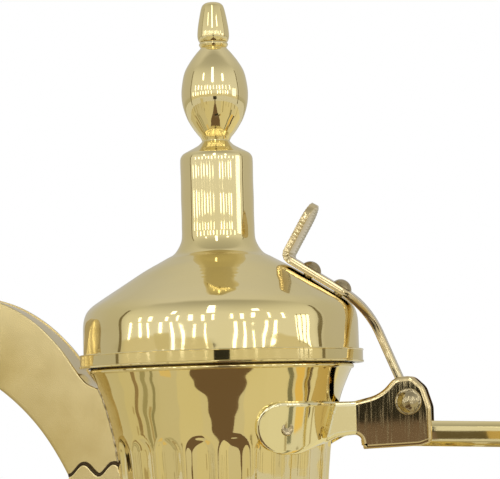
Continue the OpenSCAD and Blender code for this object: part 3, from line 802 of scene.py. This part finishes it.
shoulder_line = smooth(above_rim([
    (DRUM_R, 69.4), (11.9, 70.3), (11.1, 71.3), (8.9, 72.5), (6.2, 74), (4.9, 75.2), (4.65, 75.7)]))
egg_line = resampled(smooth(above_rim([
    (4.65, 75.7), (5.2, 76.9), (6.3, 78.2), (8.0, 80.7), (9.5, 83.5), (10.8, 87.6), (11.2, 91.6),
    (10.8, 95.6), (9.9, 99.2), (8.1, 102.4), (6.1, 105.1), (4.7, 106.7), (4.25, 107.4)])), 0.4)
collar_outline = rounded([
    (2.6, RIM + 107.4, 0), (4.5, RIM + 107.4, 0.3), (4.95, RIM + 108.3, 0.5), (4.5, RIM + 109.2, 0.3),
    (2.6, RIM + 109.2, 0)])
cap_line = smooth(above_rim([
    (4.7, 109.2), (5.1, 109.9), (5.35, 111.4), (5.1, 114.4), (4.35, 118.6), (3.75, 121.0), (3.2, 121.9),
    (2.2, 122.5), (0.02, 122.8)]))

turned("lid_shell", shell_loop(dome_line, LID_WALL), "lid", ["lid_dome"], spun_lid, WIDE_SEGMENTS)
turned("lid_rim_band", band_outline, "lid", ["lid_band"], polished, WIDE_SEGMENTS)
turned("drum", shell_loop(drum_line, FINIAL_WALL), "lid", ["finial_drum"], spun_drum)
turned("drum_shoulder", shell_loop(shoulder_line, FINIAL_WALL), "lid", ["finial_shoulder"], polished)
turned("egg", shell_loop(egg_line, FINIAL_WALL), "lid", ["finial_egg"], polished)
turned("collar", collar_outline, "lid", ["finial_collar"], polished, SMALL_SEGMENTS)
turned("cap", solid_loop(cap_line), "lid", ["finial_cap"], polished, SMALL_SEGMENTS)

# ---------------------------------------------------------------- thumb strap

STRAP_BEND = Vector((23.1, RIM + 35.4))
STRAP_TURN = Vector((49.4, RIM + 18.6))
STRAP_TIP = Vector((33.2, RIM + 52.8))
STRAP_SHEET = 2.4
STRAP_HALF = 6.5
STRAP_END_HALF = 2.7
NARROW_FROM_X = 42
NARROW_RUN = 12
STRAP_CORNER = 0.3
STRAP_RIVETS_AT = (9.2, 21.0)
STRAP_RIVET = (3.35, 2.3, 1.6, 5.6)
STRAP_TAIL = (2.6, 1.0, 1.6, 0.6)
NICK = 0.22
FILED = 0.12
KNUCKLE_HALF = HINGE_HALF - 0.3

strap_path = resampled(rounded([
    (*STRAP_TIP, 0), (*STRAP_BEND, 2.2), (*STRAP_TURN, 32), (PIVOT.x, PIVOT.z, 0)], 24, closed=False), 0.35)
tab_length = (STRAP_TIP - STRAP_BEND).length


def strap_half(at, x):
    """Half width of the strap at a distance from its tip: round tab, wide on the lid, narrow at the hinge."""
    if at < STRAP_HALF:
        return sqrt(max(STRAP_HALF ** 2 - (STRAP_HALF - at) ** 2, 0.09))
    narrow = min(max((x - NARROW_FROM_X) / NARROW_RUN, 0.0), 1.0) if at > tab_length else 0.0
    return STRAP_HALF + (STRAP_END_HALF - STRAP_HALF) * narrow * narrow * (3 - 2 * narrow)


def strap_sections():
    """Cross-sections along the strap; the tab's edges are nicked and its thickness is filed unevenly."""
    sections, at = [], 0.0
    for i, (x, z) in enumerate(strap_path):
        before, after = strap_path[max(i - 1, 0)], strap_path[min(i + 1, len(strap_path) - 1)]
        if i:
            at += hypot(x - before[0], z - before[1])
        dx, dz = after[0] - before[0], after[1] - before[1]
        run = hypot(dx, dz)
        nx, nz = -dz / run, dx / run
        half, t = strap_half(at, x), STRAP_SHEET / 2
        if at < tab_length + 1.5:
            half -= NICK * abs(sin(at * 2.3)) * (0.6 + 0.4 * sin(at * 5.1))
            t *= 1 - FILED * abs(sin(at * 3.1))
        corners = ((-half, -t), (half, -t), (half, t), (-half, t))
        edge = rounded([(*corner, STRAP_CORNER) for corner in corners], 3)
        sections.append([(x + nx * c, w, z + nz * c) for w, c in edge])
    return sections


swept("strap", strap_sections(), "lid", ["thumb_strap"], nicked)
knuckle_loop = rounded([
    (2.25, -KNUCKLE_HALF, 0), (4.0, -KNUCKLE_HALF, 0.4), (4.0, KNUCKLE_HALF, 0.4),
    (2.25, KNUCKLE_HALF, 0)], 4)
turned_about("strap_knuckle", knuckle_loop, PIVOT, (0, 1, 0), "lid", (), nicked)

run_way = (STRAP_TURN - STRAP_BEND).normalized()
run_up = Vector((-run_way.y, run_way.x))
for along_strap, label in zip(STRAP_RIVETS_AT, ("upper", "lower")):
    top = STRAP_BEND + run_way * along_strap + run_up * (STRAP_SHEET / 2)
    tail = top - run_up * (STRAP_SHEET + 3.4)
    turned_about(f"strap_dome_{label}", domed_loop(*STRAP_RIVET), (top.x, 0, top.y),
                 (run_up.x, 0, run_up.y), "lid", [f"strap_rivet_{label}"], peened)
    turned_about(f"strap_tail_{label}", domed_loop(*STRAP_TAIL), (tail.x, 0, tail.y),
                 (-run_up.x, 0, -run_up.y), "lid", (), peened)

# ---------------------------------------------------------------- CAD nodes that stay

for node in ("base_disc", "lid_sleeve", "finial_rod", "finial_nut"):
    kept = frame["nodes"][node]
    kept.data.materials.clear()
    kept.data.materials.append(dull)

# ---------------------------------------------------------------- camera, at the photograph's angle

VIEW_TURN = radians(12.4)
VIEW_DISTANCE = 713.0
VIEW_DROP = 16.4
VIEW_PITCH = radians(4.7)
VIEW_YAW = radians(0.846)
VIEW_ROLL = radians(-1.55)
LENS = 154.1
SENSOR = 36.0

eye = Vector((VIEW_DISTANCE * sin(VIEW_TURN), -VIEW_DISTANCE * cos(VIEW_TURN), RIM - VIEW_DROP))
level = Vector((-sin(VIEW_TURN), cos(VIEW_TURN), 0))
across = Vector((cos(VIEW_TURN), sin(VIEW_TURN), 0))
ahead_way = level * cos(VIEW_YAW) + across * sin(VIEW_YAW)
right_way = across * cos(VIEW_YAW) - level * sin(VIEW_YAW)
look = ahead_way * cos(VIEW_PITCH) + Vector((0, 0, 1)) * sin(VIEW_PITCH)
over = Vector((0, 0, 1)) * cos(VIEW_PITCH) - ahead_way * sin(VIEW_PITCH)
right = right_way * cos(VIEW_ROLL) + over * sin(VIEW_ROLL)
up = over * cos(VIEW_ROLL) - right_way * sin(VIEW_ROLL)

camera_data = bpy.data.cameras.new("camera")
camera_data.lens = LENS
camera_data.sensor_width = SENSOR
camera_data.clip_start = 0.01
camera = bpy.data.objects.new("camera", camera_data)
camera.matrix_world = Matrix((
    (right.x, up.x, -look.x, eye.x * MM), (right.y, up.y, -look.y, eye.y * MM),
    (right.z, up.z, -look.z, eye.z * MM), (0, 0, 0, 1)))
scene.collection.objects.link(camera)
bpy.context.scene.camera = camera

# ---------------------------------------------------------------- studio, in metres

RIM_M = RIM * MM
LAMP_FAR = 5.0
LAMP_UNEVEN = 0.35
TABLE_FAR = 1.0
SIDE_FLAG_Y = -0.12
PATCH_HEIGHT = 0.004
FLAG_HEIGHT = 0.006
MARK_HEIGHT = 0.008
LINE_HEIGHT = 0.010
FLOOR_HALF = 3.0
FLOOR_GLOW = 0.16

FLOOR_GREY = (0.86, 0.86, 0.85, 1)
LAMP_WHITE = (3.2, 3.2, 3.1)
WINDOW_WHITE = (2.3, 2.3, 2.3)
WINDOW_BAR = (0.34, 0.31, 0.22)
TENT_EDGE = (0.20, 0.17, 0.11)
DARK = (0.03, 0.028, 0.022)
BODY_BROWN = (0.16, 0.105, 0.065)
FLAG_BROWN = (0.20, 0.145, 0.11)
BAR_BROWN = (0.13, 0.105, 0.06)
BAR_GOLD = (0.55, 0.40, 0.16)
WARM_WALL = (0.62, 0.56, 0.38)
HANDLE_SHADE = (0.34, 0.28, 0.17)
LINE_DARK = (0.34, 0.29, 0.17)
LINE_LIGHT = (0.44, 0.36, 0.20)

scene.view_settings.view_transform = "Standard"


def glowing(name, colour):
    """Plain card colour that shows the same brightness from everywhere."""
    material = bpy.data.materials.new(name)
    material.use_nodes = True
    shader = material.node_tree.nodes["Principled BSDF"]
    shader.inputs["Base Color"].default_value = (0, 0, 0, 1)
    shader.inputs["Specular IOR Level"].default_value = 0.0
    shader.inputs["Emission Color"].default_value = (*colour, 1)
    shader.inputs["Emission Strength"].default_value = 1.0
    return material


def card(name, corners, colour):
    """Flat studio card from four corners in metres, seen only in the polished metal."""
    mesh = bpy.data.meshes.new(name)
    mesh.from_pydata([tuple(c) for c in corners], [], [(0, 1, 2, 3)])
    piece = bpy.data.objects.new(name, mesh)
    mesh.materials.append(glowing(name, colour))
    scene.collection.objects.link(piece)
    piece.visible_camera = False
    piece.visible_shadow = False
    piece.visible_diffuse = False


def toward(turn, distance, height=0.0):
    """Point at an angle to the right of the camera's side, in degrees, and a distance from the pot's axis."""
    a = VIEW_TURN + radians(turn)
    return Vector((distance * sin(a), -distance * cos(a), height))


def upright_card(name, turn, distance, half_width, low, high, colour):
    """Upright card that faces the pot."""
    a = VIEW_TURN + radians(turn)
    side = Vector((cos(a), sin(a), 0)) * half_width
    foot, head = toward(turn, distance, low), toward(turn, distance, high)
    card(name, [foot - side, foot + side, head + side, head - side], colour)


def lamp_row(name, turns, from_rise, to_rise, half_width, colour):
    """Far row of upright lamps between two angles above the pot's rim; all angles are in degrees."""
    for number, turn in enumerate(turns):
        wander = LAMP_UNEVEN * sin(number * 2.3 + len(turns))
        low = RIM_M + LAMP_FAR * tan(radians(from_rise + wander))
        high = RIM_M + LAMP_FAR * tan(radians(to_rise + wander))
        width = LAMP_FAR * tan(radians(half_width)) * (1 + LAMP_UNEVEN * sin(number * 1.7))
        upright_card(f"{name}_{number}", turn, LAMP_FAR, width, low, high, colour)


def table_patch(name, turns, near, far, colour, height=PATCH_HEIGHT):
    """Patch just above the table between two angles and two distances."""
    left, right = turns
    card(name, [toward(left, near, height), toward(right, near, height), toward(right, far, height),
                toward(left, far, height)], colour)


def table_flag(name, near, far, near_half, far_half):
    """Brown flag that lies straight in front of the pot, with a half width at each end."""
    corners = [(near, -90, near_half), (near, 90, near_half), (far, 90, far_half), (far, -90, far_half)]
    card(name, [toward(0, run, FLAG_HEIGHT) + toward(turn, half) for run, turn, half in corners], BODY_BROWN)


def flat_card(name, y, left, right, low, high, colour):
    """Upright card in front of the pot, square to its handle."""
    card(name, [(left, y, low), (right, y, low), (right, y, high), (left, y, high)], colour)


def lay_floor():
    """Pale matt floor under the pot, brightened a little so that the metal sees it as pale."""
    mesh = bpy.data.meshes.new("floor")
    corners = [(-FLOOR_HALF, -FLOOR_HALF, 0), (FLOOR_HALF, -FLOOR_HALF, 0), (FLOOR_HALF, FLOOR_HALF, 0),
               (-FLOOR_HALF, FLOOR_HALF, 0)]
    mesh.from_pydata(corners, [], [(0, 1, 2, 3)])
    floor = bpy.data.objects.new("floor", mesh)
    material = bpy.data.materials.new("floor")
    material.use_nodes = True
    shader = material.node_tree.nodes["Principled BSDF"]
    shader.inputs["Base Color"].default_value = FLOOR_GREY
    shader.inputs["Roughness"].default_value = 0.9
    shader.inputs["Specular IOR Level"].default_value = 0.1
    shader.inputs["Emission Color"].default_value = (1, 1, 1, 1)
    shader.inputs["Emission Strength"].default_value = FLOOR_GLOW
    mesh.materials.append(material)
    scene.collection.objects.link(floor)


lay_floor()
lamp_row("low_lamp", (-80, -69, -60, -50, -41, -31, -22, -12, 10, 19, 28, 37, 45), 0.8, 7.0, 1.15, LAMP_WHITE)
lamp_row("upper_lamp", (-70, -58, -46, -34, -25, -15, -4, 7, 17, 28, 40, 54), 9.5, 18.0, 1.3, LAMP_WHITE)
lamp_row("high_lamp", (-42, 31), 25.0, 33.0, 2.4, LAMP_WHITE)
lamp_row("cap_lamp", (-7,), 23.0, 52.0, 4.2, LAMP_WHITE)
upright_card("window", 70, 2.2, 0.27, RIM_M + 0.02, RIM_M + 0.50, WINDOW_WHITE)
for number, turn in enumerate((64.5, 68.5, 73.0)):
    upright_card(f"window_bar_{number}", turn, 2.1, 0.018, RIM_M, RIM_M + 0.55, WINDOW_BAR)
for turn in (-91, 89):
    upright_card(f"tent_edge_{turn + 100}", turn, 1.3, 0.04, 0.0, 1.1, TENT_EDGE)

upright_card("flag_centre", 0, 0.725, 0.078, 0.125, 0.209, DARK)
upright_card("flag_low", 0, 0.76, 0.024, 0.0, 0.150, BODY_BROWN)
table_flag("flag_table", 0.10, 0.26, 0.10, 0.085)
table_flag("flag_table_far", 0.26, 0.76, 0.085, 0.024)
flat_card("flag_dark", SIDE_FLAG_Y, 0.020, 0.057, 0.1658, 0.1825, DARK)
flat_card("flag_brown", SIDE_FLAG_Y, 0.020, 0.057, 0.146, 0.1658, FLAG_BROWN)
flat_card("flag_bar", SIDE_FLAG_Y, 0.057, 0.077, 0.148, 0.168, BAR_BROWN)
flat_card("flag_bar_gold", SIDE_FLAG_Y, 0.077, 0.090, 0.148, 0.168, BAR_GOLD)
flat_card("screen", -0.414, -0.345, -0.235, 0.05, 0.216, WARM_WALL)

TABLE_START = -132
TABLE_STEP = 22
TABLE_PATCHES = 12
# Marks on the table: between which angles, from which distance to which, and the colour.
TABLE_MARKS = (
    ((-95, -90), 0.12, 0.60, (0.30, 0.22, 0.12)), ((-84, -79), 0.12, 0.60, (0.36, 0.33, 0.20)),
    ((-74, -71), 0.12, 0.50, (0.30, 0.28, 0.17)), ((-62, -50), 0.14, 0.22, (0.74, 0.58, 0.28)),
    ((66, 71), 0.12, 0.60, (0.22, 0.21, 0.14)), ((74, 84), 0.12, 0.50, (0.80, 0.56, 0.18)),
    ((86, 93), 0.12, 0.50, (0.12, 0.08, 0.05)))
TABLE_LINES_AT = (-99, -88, -77, -66, -55, -44, -33, 30, 41, 52, 63, 78, 96)

for number in range(TABLE_PATCHES):
    start = TABLE_START + TABLE_STEP * number
    warmth = 0.5 + 0.5 * sin(number * 1.9)
    light = 0.56 + 0.17 * number / (TABLE_PATCHES - 1) + 0.06 * warmth
    table_patch(f"table_{number}", (start, start + TABLE_STEP), 0.10, TABLE_FAR,
                (light, light * (0.93 - 0.02 * warmth), light * (0.71 - 0.10 * warmth)))
table_patch("table_under_handle", (62, 100), 0.07, 0.13, HANDLE_SHADE)
for number, (turns, near, far, colour) in enumerate(TABLE_MARKS):
    table_patch(f"table_mark_{number}", turns, near, far, colour, MARK_HEIGHT)
for number, turn in enumerate(TABLE_LINES_AT):
    near, wide = 0.56 + 0.16 * sin(number * 2.4), 1.9 + 0.9 * sin(number * 1.3)
    table_patch(f"table_line_{number}", (turn, turn + wide), near, TABLE_FAR,
                LINE_DARK if number % 2 else LINE_LIGHT, LINE_HEIGHT)

# ---------------------------------------------------------------- light from all around

FRONT = Vector((sin(VIEW_TURN), -cos(VIEW_TURN), 0))
UP = (0, 0, 1)
FACING = ((0.0, (0, 0, 0)), (0.45, (0, 0, 0)), (0.55, (1, 1, 1)), (1.0, (1, 1, 1)))
BEHIND = ((0.0, (0.44, 0.41, 0.31)), (0.49, (0.47, 0.45, 0.37)), (0.515, (0.54, 0.52, 0.48)),
          (0.8, (0.56, 0.55, 0.52)), (1.0, (0.68, 0.67, 0.66)))
IN_FRONT = ((0.0, (0.66, 0.61, 0.46)), (0.508, (0.68, 0.62, 0.46)), (0.515, (0.80, 0.79, 0.76)),
            (0.7, (0.76, 0.75, 0.71)), (1.0, (0.42, 0.41, 0.38)))

world = bpy.data.worlds.new("studio")
scene.world = world
world.use_nodes = True
tree = world.node_tree
tree.nodes.clear()
coordinates = tree.nodes.new("ShaderNodeTexCoord")


def along(direction, stops):
    """Colour ramp over how far a ray points along a direction."""
    product = tree.nodes.new("ShaderNodeVectorMath")
    product.operation = "DOT_PRODUCT"
    product.inputs[1].default_value = direction
    tree.links.new(coordinates.outputs["Generated"], product.inputs[0])
    half = tree.nodes.new("ShaderNodeMapRange")
    half.inputs["From Min"].default_value = -1.0
    tree.links.new(product.outputs["Value"], half.inputs["Value"])
    ramp = tree.nodes.new("ShaderNodeValToRGB")
    elements = ramp.color_ramp.elements
    while len(elements) < len(stops):
        elements.new(0.5)
    for element, (position, colour) in zip(elements, stops):
        element.position = position
        element.color = (*colour, 1)
    tree.links.new(half.outputs["Result"], ramp.inputs["Fac"])
    return ramp.outputs["Color"]


blend = tree.nodes.new("ShaderNodeMix")
blend.data_type = "RGBA"
tree.links.new(along(FRONT, FACING), blend.inputs["Factor"])
tree.links.new(along(UP, BEHIND), blend.inputs[6])
tree.links.new(along(UP, IN_FRONT), blend.inputs[7])
room = tree.nodes.new("ShaderNodeBackground")
tree.links.new(blend.outputs[2], room.inputs["Color"])
backdrop = tree.nodes.new("ShaderNodeBackground")
backdrop.inputs["Color"].default_value = (1, 1, 1, 1)
path = tree.nodes.new("ShaderNodeLightPath")
choose = tree.nodes.new("ShaderNodeMixShader")
tree.links.new(path.outputs["Is Camera Ray"], choose.inputs["Fac"])
tree.links.new(room.outputs[0], choose.inputs[1])
tree.links.new(backdrop.outputs[0], choose.inputs[2])
output = tree.nodes.new("ShaderNodeOutputWorld")
tree.links.new(choose.outputs[0], output.inputs["Surface"])
